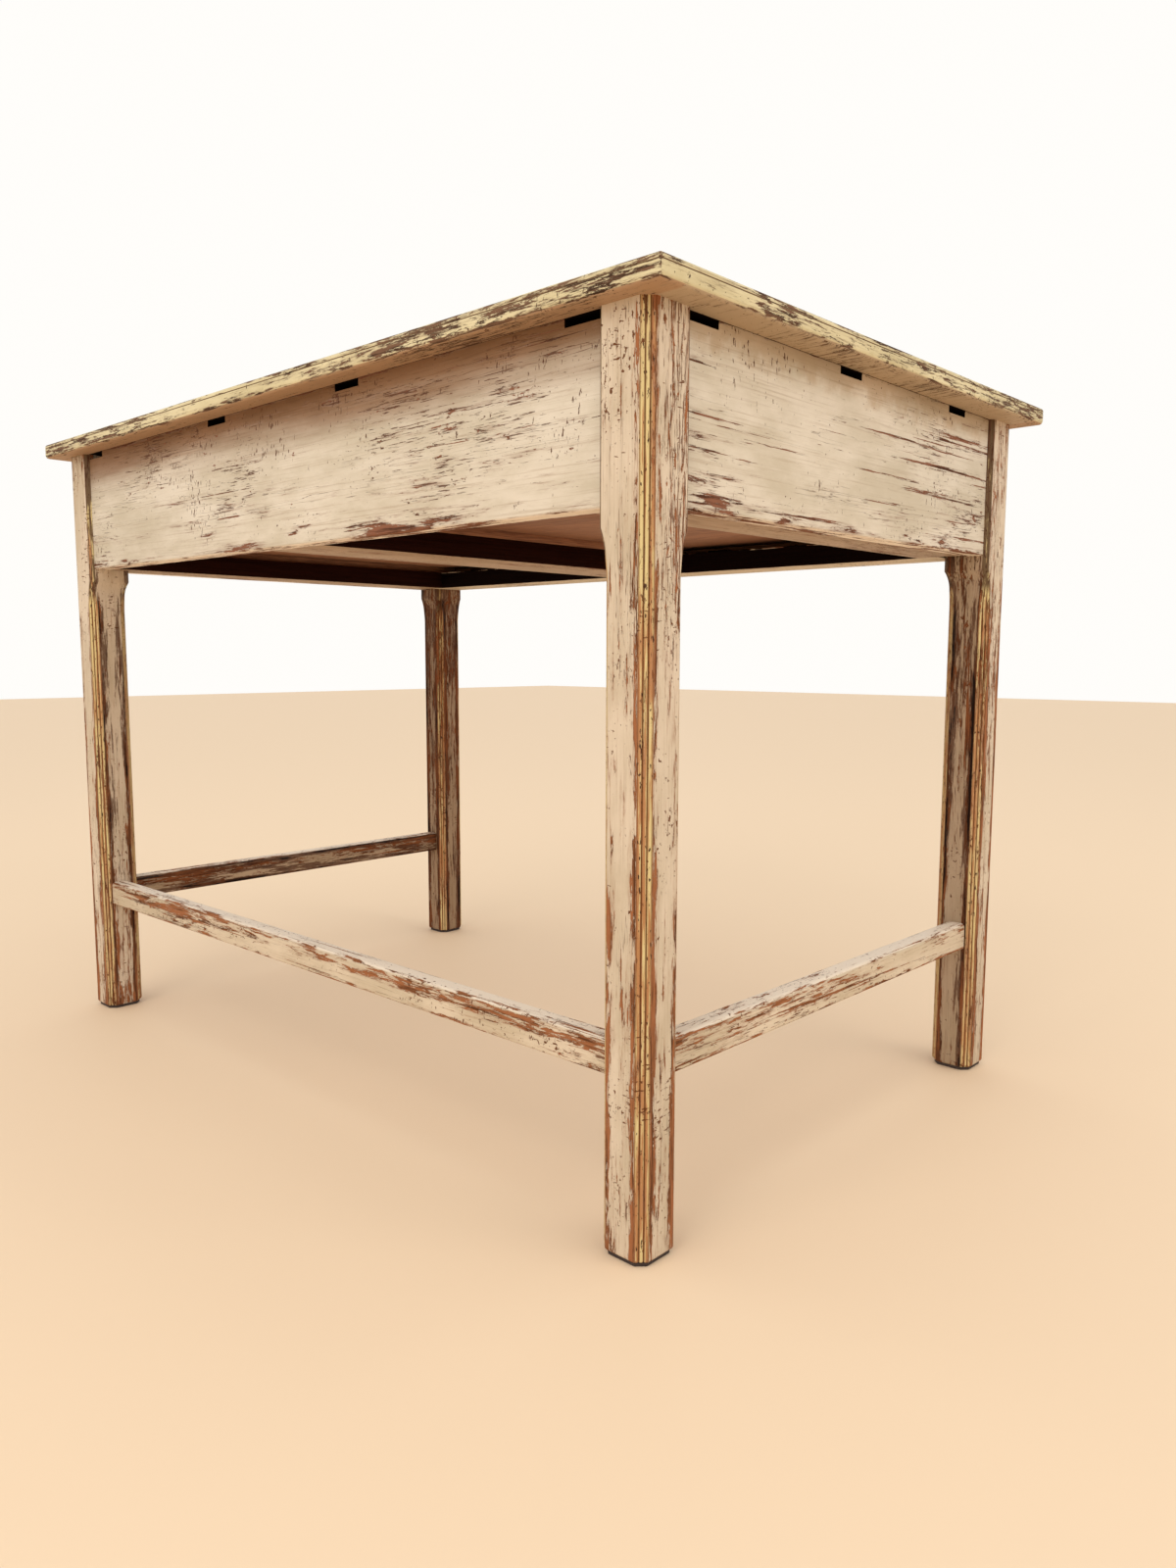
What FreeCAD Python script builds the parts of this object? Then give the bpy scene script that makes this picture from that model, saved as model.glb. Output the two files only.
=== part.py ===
"""Painted pine writing table with two drawers side by side in its front.

Millimetres.  The origin is on the floor at the centre of the table, +X runs along the long side,
+Z is up and the user sits at -Y.  Left and right are the user's own.  Every board, fixing and foot
is a solid of its own, cut with the mortise, groove or hole that its neighbour needs.
"""
import FreeCAD
import Part
import os

V = FreeCAD.Vector

# ---- Driving dimensions ---------------------------------------------------------------------
HEIGHT = 762.0            # floor to the top's upper face
FRAME_LENGTH = 1006.0     # outside of the legs along X
FRAME_DEPTH = 636.0       # outside of the legs along Y
TOP_THICKNESS = 18.0
OVERHANG_X = 27.0
OVERHANG_Y = 20.0

LEG_BLOCK = 52.0          # square section beside the aprons
LEG_LOWER = 48.0          # square section below them
SHOULDER_TOP = 15.0       # the inner faces start to curve in this far below the aprons
SHOULDER_END = 33.0       # and are straight again from here down
CHAMFER = 8.5             # reeded corner, measured along a leg face
BLOCK_CHAMFER = 5.0       # plain corner beside an apron
REEDS = 3
REED_DEPTH = 1.3
GLIDE_HEIGHT = 4.0
FOOT_BEVEL = 2.5

BOARD = 19.0              # thickness of aprons
SETBACK = 5.0             # aprons and drawer fronts stand back from the leg faces
APRON_BOTTOM = 597.0
ARRIS = 2.5               # rounding of their lower edges
TENON = 22.0              # length of a tenon in a leg
TENON_THICKNESS = 8.0
TENON_SKIN = 5.5          # thickness of board left outside a tenon
SLOT_WIDTH = 38.0         # open slots in the aprons' upper edges
SLOT_HEIGHT = 7.0
BACK_SLOTS = (-432.0, -123.0, 123.0, 432.0)
END_SLOTS = (-189.0, 27.0, 247.0)
BRACKET_WIDTH, BRACKET_SHEET, BRACKET_HEIGHT, BRACKET_REACH = 20.0, 2.0, 28.0, 22.0
BACK_BRACKETS = (-280.0, 0.0, 280.0)
END_BRACKETS = (-80.0, 140.0)

STRETCHER_BOTTOM = 147.0
STRETCHER_HEIGHT = 30.0
STRETCHER_THICKNESS = 22.0
STRETCHER_SETBACK = 10.0

RAIL_DEPTH = 60.0         # front rails, above and below the drawers
TOP_RAIL_HEIGHT = 22.0
RUNNER_HEIGHT = 25.0      # lower rail and runners
CENTRE_RUNNER = 96.0
END_RUNNER = 52.0
DIVIDER = 75.0
GUIDE_HEIGHT = 18.0
KICKER = 22.0

SIDE = 12.0               # drawer sides and backs
FRONT = 20.0              # drawer fronts
GAP = 1.5                 # round a drawer front
RUNNING_GAP = 0.3         # under the drawer sides
BOTTOM_RAISE = 9.0        # drawer bottoms above the runners
BOTTOM_THICKNESS = 6.0
GROOVE = 5.0
DRAWER_BACK_GAP = 22.0    # between a drawer and the back apron
KNOB_RADIUS = 16.0
KNOB_LENGTH = 24.0

# ---- Levels and faces worked out from them --------------------------------------------------
half_x, half_y = FRAME_LENGTH / 2, FRAME_DEPTH / 2
top_under = HEIGHT - TOP_THICKNESS
block_x, block_y = half_x - LEG_BLOCK, half_y - LEG_BLOCK      # inner faces of the leg blocks
end_inner = half_x - SETBACK - BOARD                           # inner face of the end aprons
back_inner = half_y - SETBACK - BOARD                          # inner face of the back apron
front_face = -half_y + SETBACK
rail_inner = front_face + RAIL_DEPTH
runner_top = APRON_BOTTOM + RUNNER_HEIGHT
opening_top = top_under - TOP_RAIL_HEIGHT


def box(x0, x1, y0, y1, z0, z1):
    """Block between two corners, given in any order."""
    (x0, x1), (y0, y1), (z0, z1) = sorted((x0, x1)), sorted((y0, y1)), sorted((z0, z1))
    return Part.makeBox(x1 - x0, y1 - y0, z1 - z0, V(x0, y0, z0))


def prism(points, direction):
    """Flat outline extruded along a vector."""
    points = [V(*p) for p in points]
    return Part.Face(Part.makePolygon(points + points[:1])).extrude(V(*direction))


def lies_at(edge, **at):
    """True where the whole edge has the given x, y or z."""
    bb = edge.BoundBox
    low = {"x": bb.XMin, "y": bb.YMin, "z": bb.ZMin}
    high = {"x": bb.XMax, "y": bb.YMax, "z": bb.ZMax}
    return all(abs(low[a] - v) < 0.01 and abs(high[a] - v) < 0.01 for a, v in at.items())


def round_edges(shape, radius, *places):
    """Round the edges that lie at any of the given places."""
    edges = [e for e in shape.Edges if any(lies_at(e, **place) for place in places)]
    return shape.makeFillet(radius, edges)


def group(solids):
    return Part.makeCompound(list(solids))


# ---- Legs -----------------------------------------------------------------------------------
def corner_edges(corner, along_in, along_out, cut, reeded):
    """Edges across one leg corner, from the face it is entered by to the face it is left by."""
    start, end = corner + along_in * cut, corner + along_out * cut
    if not reeded:
        return [Part.makeLine(start, end)]
    step = (end - start) * (1.0 / REEDS)
    inward = (along_in + along_out).normalize() * REED_DEPTH
    quirks = [start] + [start + step * i + inward for i in range(1, REEDS)] + [end]
    edges = []
    for i in range(REEDS):
        crest = start + step * (i + 0.5)
        edges.append(Part.Arc(quirks[i], crest - inward * 0.35, quirks[i + 1]).toShape())
    return edges


def leg_section(size, z, cuts, sx, sy):
    """Horizontal section of a leg as a face; cuts holds (cut, reeded) for the four corners."""
    def at(u, v):
        return V(sx * (half_x - u), sy * (half_y - v), z)
    corners = [at(0, 0), at(size, 0), at(size, size), at(0, size)]
    edges, last = [], None
    for i, corner in enumerate(corners):
        along_in = (corners[i - 1] - corner).normalize()
        along_out = (corners[(i + 1) % 4] - corner).normalize()
        piece = corner_edges(corner, along_in, along_out, *cuts[i])
        if last is not None:
            edges.append(Part.makeLine(last, corner + along_in * cuts[i][0]))
        edges += piece
        last = corner + along_out * cuts[i][0]
    first_in = (corners[3] - corners[0]).normalize()
    edges.append(Part.makeLine(last, corners[0] + first_in * cuts[0][0]))
    return Part.Face(Part.Wire(Part.sortEdges(edges)[0]))


def shoulder_cutter(sx, sy, swap):
    """Waste beyond the curved shoulder on one of the two inner faces of a leg block."""
    depth, rise = LEG_BLOCK - LEG_LOWER, SHOULDER_END - SHOULDER_TOP
    radius = (depth ** 2 + rise ** 2) / (2 * depth)
    z_low, z_high = APRON_BOTTOM - SHOULDER_END, APRON_BOTTOM - SHOULDER_TOP
    half_angle_point = (LEG_LOWER + radius - (radius ** 2 - (rise / 2) ** 2) ** 0.5, z_low + rise / 2)

    def at(u, z):
        return V(sx * (half_x - u), sy * half_y, z) if not swap else V(sx * half_x, sy * (half_y - u), z)
    low, high = at(LEG_LOWER, z_low), at(LEG_BLOCK, z_high)
    edges = [Part.Arc(low, at(*half_angle_point), high).toShape(),
             Part.makeLine(high, at(LEG_BLOCK + 1, z_high)),
             Part.makeLine(at(LEG_BLOCK + 1, z_high), at(LEG_BLOCK + 1, z_low)),
             Part.makeLine(at(LEG_BLOCK + 1, z_low), low)]
    across = V(0, -sy * LEG_BLOCK, 0) if not swap else V(-sx * LEG_BLOCK, 0, 0)
    return Part.Face(Part.Wire(edges)).extrude(across)


def make_leg(sx, sy, mortises):
    """One leg: reeded corners, block at the top relieved below the aprons, bevelled foot."""
    z_foot, z_shoulder = GLIDE_HEIGHT, APRON_BOTTOM - SHOULDER_END
    reeded, plain = (CHAMFER, True), (BLOCK_CHAMFER, False)
    lower = leg_section(LEG_LOWER, z_foot, [reeded] * 4, sx, sy).extrude(V(0, 0, z_shoulder - z_foot))
    upper = leg_section(LEG_BLOCK, z_shoulder, [reeded, plain, plain, plain], sx, sy)
    upper = upper.extrude(V(0, 0, top_under - z_shoulder))
    for swap in (False, True):
        upper = upper.cut(shoulder_cutter(sx, sy, swap))

    def square(inset, z):
        near_x, far_x = sx * (half_x - inset), sx * (half_x - LEG_LOWER + inset)
        near_y, far_y = sy * (half_y - inset), sy * (half_y - LEG_LOWER + inset)
        return Part.makePolygon([V(near_x, near_y, z), V(far_x, near_y, z), V(far_x, far_y, z),
                                 V(near_x, far_y, z), V(near_x, near_y, z)])
    above = z_foot + FOOT_BEVEL
    foot = Part.makeLoft([square(FOOT_BEVEL, z_foot), square(0, above)], True, True)
    shank = Part.makeLoft([square(0, above), square(0, z_shoulder)], True, True)
    leg = lower.common(foot.fuse(shank)).fuse(upper).removeSplitter()
    for tenon in mortises:
        leg = leg.cut(tenon)
    return leg


def make_glide(sx, sy):
    """Dark pad under a leg, cut to the leg's own outline."""
    u0, u1, c = FOOT_BEVEL, LEG_LOWER - FOOT_BEVEL, CHAMFER - 1
    outline = [(u0 + c, u0), (u1 - c, u0), (u1, u0 + c), (u1, u1 - c),
               (u1 - c, u1), (u0 + c, u1), (u0, u1 - c), (u0, u0 + c)]
    points = [(sx * (half_x - u), sy * (half_y - v), 0) for u, v in outline]
    return prism(points, (0, 0, GLIDE_HEIGHT))


# ---- Aprons, rails and stretchers -----------------------------------------------------------
apron_tenon_z = (APRON_BOTTOM + 12, top_under - 24)
back_outer = half_y - SETBACK
back_tenons = [box(sx * block_x, sx * (block_x + TENON), back_outer - TENON_SKIN,
                   back_outer - TENON_SKIN - TENON_THICKNESS, *apron_tenon_z) for sx in (-1, 1)]
back_apron = box(-block_x, block_x, back_inner, back_outer, APRON_BOTTOM, top_under)
back_apron = round_edges(back_apron, ARRIS, {"y": back_outer, "z": APRON_BOTTOM})
for x in BACK_SLOTS:
    back_apron = back_apron.cut(box(x - SLOT_WIDTH / 2, x + SLOT_WIDTH / 2, 0, half_y,
                                    top_under - SLOT_HEIGHT, HEIGHT))
back_apron = back_apron.fuse(back_tenons).removeSplitter()


def make_end_apron(sx):
    """Apron of one end with its two tenons, which are also given back for the mortises."""
    outer, inner = sx * (half_x - SETBACK), sx * end_inner
    tenon_x = (outer - sx * TENON_SKIN, outer - sx * (TENON_SKIN + TENON_THICKNESS))
    tenons = [box(*tenon_x, sy * block_y, sy * (block_y + TENON), *apron_tenon_z) for sy in (-1, 1)]
    board = box(inner, outer, -block_y, block_y, APRON_BOTTOM, top_under)
    board = round_edges(board, ARRIS, {"x": outer, "z": APRON_BOTTOM})
    for y in END_SLOTS:
        board = board.cut(box(inner - sx, outer + sx, y - SLOT_WIDTH / 2, y + SLOT_WIDTH / 2,
                              top_under - SLOT_HEIGHT, HEIGHT))
    return board.fuse(tenons).removeSplitter(), tenons


def make_rail(z0, z1, tenon_z):
    """Front rail with its tenons in the two front legs."""
    tenons = [box(sx * block_x, sx * (block_x + TENON), front_face + 12, front_face + 34, *tenon_z)
              for sx in (-1, 1)]
    board = box(-block_x, block_x, front_face, rail_inner, z0, z1)
    board = round_edges(board, 1.5, {"y": front_face, "z": z0}, {"y": front_face, "z": z1})
    return board.fuse(tenons).removeSplitter(), tenons


def make_stretcher(x0, x1, y0, y1, lengthwise_x):
    """Low stretcher with rounded upper edges and stub tenons."""
    z0, z1 = STRETCHER_BOTTOM, STRETCHER_BOTTOM + STRETCHER_HEIGHT
    bar = box(x0, x1, y0, y1, z0, z1)
    sides = [{"y": y0}, {"y": y1}] if lengthwise_x else [{"x": x0}, {"x": x1}]
    bar = round_edges(bar, 5.0, *[{**s, "z": z1} for s in sides])
    bar = round_edges(bar, 2.0, *[{**s, "z": z0} for s in sides])
    if lengthwise_x:
        ends = [box(x, x + s * 16, y0 + 6.5, y1 - 6.5, z0 + 4, z1 - 6) for x, s in ((x0, -1), (x1, 1))]
    else:
        ends = [box(x0 + 6.5, x1 - 6.5, y, y + s * 16, z0 + 4, z1 - 6) for y, s in ((y0, -1), (y1, 1))]
    return bar.fuse(ends).removeSplitter(), ends


lower_x, lower_y = half_x - LEG_LOWER, half_y - LEG_LOWER       # inner faces of the lower legs
left_end_apron, left_apron_tenons = make_end_apron(-1)
right_end_apron, right_apron_tenons = make_end_apron(1)
front_top_rail, top_rail_tenons = make_rail(opening_top, top_under, (opening_top + 6, top_under - 6))
front_bottom_rail, bottom_rail_tenons = make_rail(APRON_BOTTOM, runner_top,
                                                  (APRON_BOTTOM + 7, runner_top - 7))
stretcher_y = half_y - STRETCHER_SETBACK
stretcher_x = half_x - STRETCHER_SETBACK
back_stretcher, back_stretcher_tenons = make_stretcher(
    -lower_x, lower_x, stretcher_y - STRETCHER_THICKNESS, stretcher_y, True)
left_stretcher, left_stretcher_tenons = make_stretcher(
    -stretcher_x, -stretcher_x + STRETCHER_THICKNESS, -lower_y, lower_y, False)
right_stretcher, right_stretcher_tenons = make_stretcher(
    stretcher_x - STRETCHER_THICKNESS, stretcher_x, -lower_y, lower_y, False)

# ---- Inner frame that carries the drawers ---------------------------------------------------
divider_stubs = [box(-DIVIDER / 2 + 12, DIVIDER / 2 - 12, front_face + 6, front_face + 14, z0, z1)
                 for z0, z1 in ((runner_top - 9, runner_top), (opening_top, opening_top + 9))]
drawer_divider = box(-DIVIDER / 2, DIVIDER / 2, front_face, front_face + FRONT, runner_top, opening_top)
drawer_divider = drawer_divider.fuse(divider_stubs).removeSplitter()

runner_stubs = [box(-CENTRE_RUNNER / 2 + 18, CENTRE_RUNNER / 2 - 18, y0, y1,
                    APRON_BOTTOM + 8, runner_top - 8)
                for y0, y1 in ((rail_inner - 10, rail_inner), (back_inner, back_inner + 10))]
centre_runner = box(-CENTRE_RUNNER / 2, CENTRE_RUNNER / 2, rail_inner, back_inner,
                    APRON_BOTTOM, runner_top).fuse(runner_stubs).removeSplitter()
front_top_rail = front_top_rail.cut(divider_stubs[1])
front_bottom_rail = front_bottom_rail.cut(divider_stubs[0]).cut(runner_stubs[0])
back_apron = back_apron.cut(runner_stubs[1])


def make_end_runner(sx):
    """Bearer under the outer side of a drawer, notched round the back leg."""
    runner = box(sx * end_inner, sx * (end_inner - END_RUNNER), rail_inner, back_inner,
                 APRON_BOTTOM, runner_top)
    return runner.cut(box(sx * block_x, sx * half_x, block_y, half_y, 0, HEIGHT))


guide_top = runner_top + GUIDE_HEIGHT
centre_guide = box(-DIVIDER / 2 + 0.5, DIVIDER / 2 - 0.5, rail_inner, back_inner, runner_top, guide_top)
end_guides = {sx: box(sx * end_inner, sx * block_x, rail_inner, block_y, runner_top, guide_top)
              for sx in (-1, 1)}

kicker_end = block_y - 6.0
kicker_inner = block_x - KICKER
end_kickers = {sx: box(sx * kicker_inner, sx * block_x, rail_inner, kicker_end, opening_top, top_under)
               for sx in (-1, 1)}
centre_kicker = box(-CENTRE_RUNNER / 2, CENTRE_RUNNER / 2, rail_inner, kicker_end, opening_top, top_under)

# Two stop blocks behind each drawer front, glued on the lower rail
stop_front = front_face + FRONT + 0.4
drawer_stops = group(box(x - 15, x + 15, stop_front, stop_front + 12, runner_top, runner_top + 5)
                     for x in (-370, -120, 120, 370))


# ---- Fixings of the top ---------------------------------------------------------------------
def make_screw(base, direction, length, radius, head_radius, head_height, countersunk):
    """Wood screw whose shank starts at base; a pan head stands behind base, a sunk one in front."""
    shank = Part.makeCylinder(radius, length, base, direction)
    if countersunk:
        head = Part.makeCone(head_radius, radius, head_height, base, direction)
    else:
        head = Part.makeCylinder(head_radius, head_height, base, direction * -1)
    return shank.fuse(head).removeSplitter()


def make_bracket(at, direction):
    """Steel angle in the corner between an apron's inner face and the top, with its two screws."""
    low, high = top_under - BRACKET_HEIGHT, top_under - BRACKET_SHEET
    outline = [(0, low), (BRACKET_SHEET, low), (BRACKET_SHEET, high), (BRACKET_REACH, high),
               (BRACKET_REACH, top_under), (0, top_under)]
    side = V(-direction.y, direction.x, 0) * (BRACKET_WIDTH / 2)
    points = [at - side - direction * reach + V(0, 0, z) for reach, z in outline]
    angle = Part.Face(Part.makePolygon(points + points[:1])).extrude(side * 2)
    upward = make_screw(at - direction * 14 + V(0, 0, high), V(0, 0, 1), 14.0, 2.0, 4.0, 2.0, False)
    sideways = make_screw(at - direction * BRACKET_SHEET + V(0, 0, low + 9), direction,
                          14.0, 2.0, 4.0, 2.0, False)
    return angle.cut(upward).cut(sideways), [upward, sideways]


bracket_places = [(V(x, back_inner, 0), V(0, 1, 0)) for x in BACK_BRACKETS]
bracket_places += [(V(sx * end_inner, y, 0), V(sx, 0, 0)) for sx in (-1, 1) for y in END_BRACKETS]
brackets, bracket_screws = [], []
for at, direction in bracket_places:
    bracket, screws = make_bracket(at, direction)
    brackets.append(bracket)
    bracket_screws += screws
back_apron = back_apron.cut(group(bracket_screws))
left_end_apron = left_end_apron.cut(group(bracket_screws))
right_end_apron = right_end_apron.cut(group(bracket_screws))

kicker_screws = [make_screw(V(x, y, opening_top), V(0, 0, 1), 32.0, 2.0, 4.0, 3.0, True)
                 for x in (-block_x + KICKER / 2, 0.0, block_x - KICKER / 2) for y in (-190.0, 200.0)]
for sx in (-1, 1):
    end_kickers[sx] = end_kickers[sx].cut(group(kicker_screws))
centre_kicker = centre_kicker.cut(group(kicker_screws))

# ---- Top ------------------------------------------------------------------------------------
top_x, top_y = half_x + OVERHANG_X, half_y + OVERHANG_Y
top_board = box(-top_x, top_x, -top_y, top_y, top_under, HEIGHT)
top_board = round_edges(top_board, 3.0, *[{"x": sx * top_x, "y": sy * top_y}
                                          for sx in (-1, 1) for sy in (-1, 1)])
top_board = top_board.makeFillet(4.0, [e for e in top_board.Edges if lies_at(e, z=HEIGHT)])
top_board = top_board.makeFillet(2.5, [e for e in top_board.Edges if lies_at(e, z=top_under)])
top_board = top_board.cut(group(bracket_screws + kicker_screws))

# ---- Drawers --------------------------------------------------------------------------------
outer_in = DIVIDER / 2 + GAP                  # drawer side next to the divider
outer_out = block_x - GAP                     # drawer side next to the end of the table
drawer_back = back_inner - DRAWER_BACK_GAP
side_z = (runner_top + RUNNING_GAP, opening_top - 4.0)
bottom_z = (runner_top + BOTTOM_RAISE, runner_top + BOTTOM_RAISE + BOTTOM_THICKNESS)
front_z = (runner_top + 1.0, opening_top - GAP)
front_inner = front_face + FRONT
TAIL_LENGTH = 12.0
TAILS = 3


def dovetails(x0, x1):
    """Tails at the front end of a drawer side."""
    pitch = (side_z[1] - side_z[0]) / TAILS
    tails = []
    for i in range(TAILS):
        middle = side_z[0] + pitch * (i + 0.5)
        narrow, wide = pitch * 0.28, pitch * 0.36
        outline = [(x0, front_inner, middle - narrow), (x0, front_inner, middle + narrow),
                   (x0, front_inner - TAIL_LENGTH, middle + wide),
                   (x0, front_inner - TAIL_LENGTH, middle - wide)]
        tails.append(prism(outline, (x1 - x0, 0, 0)))
    return tails


def make_knob(x, z):
    """Turned knob: foot, neck and flattened ball with a slightly pointed crown."""
    def at(r, d):
        return V(x + r, front_face - d, z)
    turned = [at(0, 0), at(10, 0), at(10, 2.5), at(6.5, 5.5), at(6.2, 8.5)]
    belly, crown = at(KNOB_RADIUS, 15.5), at(5, KNOB_LENGTH - 0.2)
    edges = [Part.makeLine(a, b) for a, b in zip(turned, turned[1:])]
    edges += [Part.Arc(turned[-1], at(14.2, 11.5), belly).toShape(),
              Part.Arc(belly, at(12.4, 21.0), crown).toShape(),
              Part.makeLine(crown, at(0, KNOB_LENGTH)), Part.makeLine(at(0, KNOB_LENGTH), turned[0])]
    return Part.Face(Part.Wire(edges)).revolve(V(x, 0, z), V(0, 1, 0), 360)


def make_drawer(sx):
    """All boards and fixings of one drawer, by name."""
    xs = sorted((sx * outer_in, sx * outer_out))
    middle_x, middle_z = sum(xs) / 2, sum(front_z) / 2
    bottom = box(xs[0] + SIDE - GROOVE, xs[1] - SIDE + GROOVE, front_inner - 6, drawer_back - 4, *bottom_z)
    back = box(xs[0] + SIDE - 4, xs[1] - SIDE + 4, drawer_back - 4 - SIDE, drawer_back - 4,
               bottom_z[1], side_z[1] - 10)
    sides = {}
    for name, x0, x1 in (("left", xs[0], xs[0] + SIDE), ("right", xs[1] - SIDE, xs[1])):
        board = box(x0, x1, front_inner, drawer_back, *side_z).fuse(dovetails(x0, x1)).removeSplitter()
        sides[name] = board.cut(bottom).cut(back)
    screws = [make_screw(V(x, drawer_back - 4 - SIDE / 2, bottom_z[0]), V(0, 0, 1),
                         20.0, 1.5, 3.0, 2.0, True) for x in (xs[0] + 60, middle_x, xs[1] - 60)]
    knob_screw = make_screw(V(middle_x, front_inner, middle_z), V(0, -1, 0), 32.0, 2.0, 4.5, 3.0, False)
    front = box(*xs, front_face, front_inner, *front_z)
    front = round_edges(front, 1.5, {"y": front_face, "z": front_z[0]}, {"y": front_face, "z": front_z[1]},
                        {"y": front_face, "x": xs[0]}, {"y": front_face, "x": xs[1]})
    front = front.cut(group([sides["left"], sides["right"]])).cut(bottom).cut(knob_screw)
    return {"drawer_front": front, "drawer_left_side": sides["left"], "drawer_right_side": sides["right"],
            "drawer_back": back.cut(group(screws)), "drawer_bottom": bottom.cut(group(screws)),
            "drawer_bottom_screws": group(screws),
            "drawer_knob": make_knob(middle_x, middle_z).cut(knob_screw),
            "knob_screw": knob_screw}


# ---- Every piece by name --------------------------------------------------------------------
pieces = {
    "top_board": top_board,
    "back_apron": back_apron,
    "left_end_apron": left_end_apron,
    "right_end_apron": right_end_apron,
    "front_top_rail": front_top_rail,
    "front_bottom_rail": front_bottom_rail,
    "drawer_divider": drawer_divider,
    "back_stretcher": back_stretcher,
    "left_stretcher": left_stretcher,
    "right_stretcher": right_stretcher,
    "centre_runner": centre_runner,
    "left_runner": make_end_runner(-1),
    "right_runner": make_end_runner(1),
    "centre_guide": centre_guide,
    "left_guide": end_guides[-1],
    "right_guide": end_guides[1],
    "centre_kicker": centre_kicker,
    "left_kicker": end_kickers[-1],
    "right_kicker": end_kickers[1],
    "drawer_stops": drawer_stops,
    "top_brackets": group(brackets),
    "top_bracket_screws": group(bracket_screws),
    "kicker_screws": group(kicker_screws),
}
for side_name, sx in (("left", -1), ("right", 1)):
    apron_tenons = left_apron_tenons if sx < 0 else right_apron_tenons
    stretcher_tenons = left_stretcher_tenons if sx < 0 else right_stretcher_tenons
    rail_index = 0 if sx < 0 else 1
    for depth_name, sy in (("front", -1), ("back", 1)):
        end_index = 0 if sy < 0 else 1
        mortises = [apron_tenons[end_index], stretcher_tenons[end_index]]
        if sy < 0:
            mortises += [top_rail_tenons[rail_index], bottom_rail_tenons[rail_index]]
        else:
            mortises += [back_tenons[rail_index], back_stretcher_tenons[rail_index]]
        pieces[f"{depth_name}_{side_name}_leg"] = make_leg(sx, sy, mortises)
        pieces[f"{depth_name}_{side_name}_glide"] = make_glide(sx, sy)
    for name, shape in make_drawer(sx).items():
        pieces[f"{side_name}_{name}"] = shape

os.makedirs("parts", exist_ok=True)
for name, shape in pieces.items():
    shape.exportStep(f"parts/{name}.step")
    print(f"{name:28s} {len(shape.Solids):3d} solids  {shape.Volume / 1000:9.1f} cm3  "
          f"{'ok' if shape.isValid() else 'NOT VALID'}")
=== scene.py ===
import bpy
import math
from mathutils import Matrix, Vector


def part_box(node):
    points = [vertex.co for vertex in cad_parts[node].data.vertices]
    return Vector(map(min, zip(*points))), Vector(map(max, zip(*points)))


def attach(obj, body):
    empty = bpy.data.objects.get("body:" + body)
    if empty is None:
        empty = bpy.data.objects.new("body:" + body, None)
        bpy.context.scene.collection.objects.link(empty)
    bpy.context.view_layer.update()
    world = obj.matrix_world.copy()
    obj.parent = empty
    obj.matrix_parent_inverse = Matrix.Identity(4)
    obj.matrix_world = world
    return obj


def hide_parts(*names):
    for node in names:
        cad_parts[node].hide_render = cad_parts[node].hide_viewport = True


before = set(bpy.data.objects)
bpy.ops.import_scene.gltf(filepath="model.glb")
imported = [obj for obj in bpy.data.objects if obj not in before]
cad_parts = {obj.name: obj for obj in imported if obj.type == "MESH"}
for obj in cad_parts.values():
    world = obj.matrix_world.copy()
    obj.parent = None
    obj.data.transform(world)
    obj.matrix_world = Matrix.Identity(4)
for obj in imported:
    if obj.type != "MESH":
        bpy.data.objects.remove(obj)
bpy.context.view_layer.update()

# ---- Camera -----------------------------------------------------------------------------------
# A wide lens close to the back left leg, at a height between the stretchers and the aprons, so that
# the table is seen from behind with its underside. Metres, degrees and millimetres.
CAMERA_PLACE = (-1.041, 0.955, 0.485)
CAMERA_TURN = (83.45, -0.12, -136.83)
LENS, SENSOR_WIDTH = 25.6, 36.0
NEAREST_SEEN = 0.01

camera = bpy.data.objects.new("camera", bpy.data.cameras.new("camera"))
bpy.context.scene.collection.objects.link(camera)
camera.location = CAMERA_PLACE
camera.rotation_euler = [math.radians(a) for a in CAMERA_TURN]
camera.data.lens, camera.data.sensor_width = LENS, SENSOR_WIDTH
camera.data.clip_start = NEAREST_SEEN
bpy.context.scene.camera = camera
bpy.context.scene.view_settings.view_transform = "Standard"

# ---- Studio floor and light -------------------------------------------------------------------
# A plain pale floor, a white sky all round, and two large soft lamps, one high behind the table and
# one beside its left end.
FLOOR_SIZE, FLOOR_ROUGHNESS = 24.0, 0.7
FLOOR_COLOUR = (0.83, 0.63, 0.43, 1.0)
SKY_COLOUR = (1.0, 0.985, 0.955, 1.0)
LAMP_COLOUR = (1.0, 0.97, 0.93)
LAMP_AIM = (0.0, 0.0, 0.5)


def clear_selection():
    bpy.ops.object.select_all(action="DESELECT")


clear_selection()
bpy.ops.mesh.primitive_plane_add(size=FLOOR_SIZE)
floor = bpy.context.object
floor.name = "studio_floor"
floor_paint = bpy.data.materials.new("studio_floor")
floor_paint.use_nodes = True
floor_shader = floor_paint.node_tree.nodes["Principled BSDF"]
floor_shader.inputs["Base Color"].default_value = FLOOR_COLOUR
floor_shader.inputs["Roughness"].default_value = FLOOR_ROUGHNESS
floor.data.materials.append(floor_paint)

sky = bpy.data.worlds.new("studio")
sky.use_nodes = True
sky.node_tree.nodes["Background"].inputs["Color"].default_value = SKY_COLOUR
sky.node_tree.nodes["Background"].inputs["Strength"].default_value = 1.0
bpy.context.scene.world = sky


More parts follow.
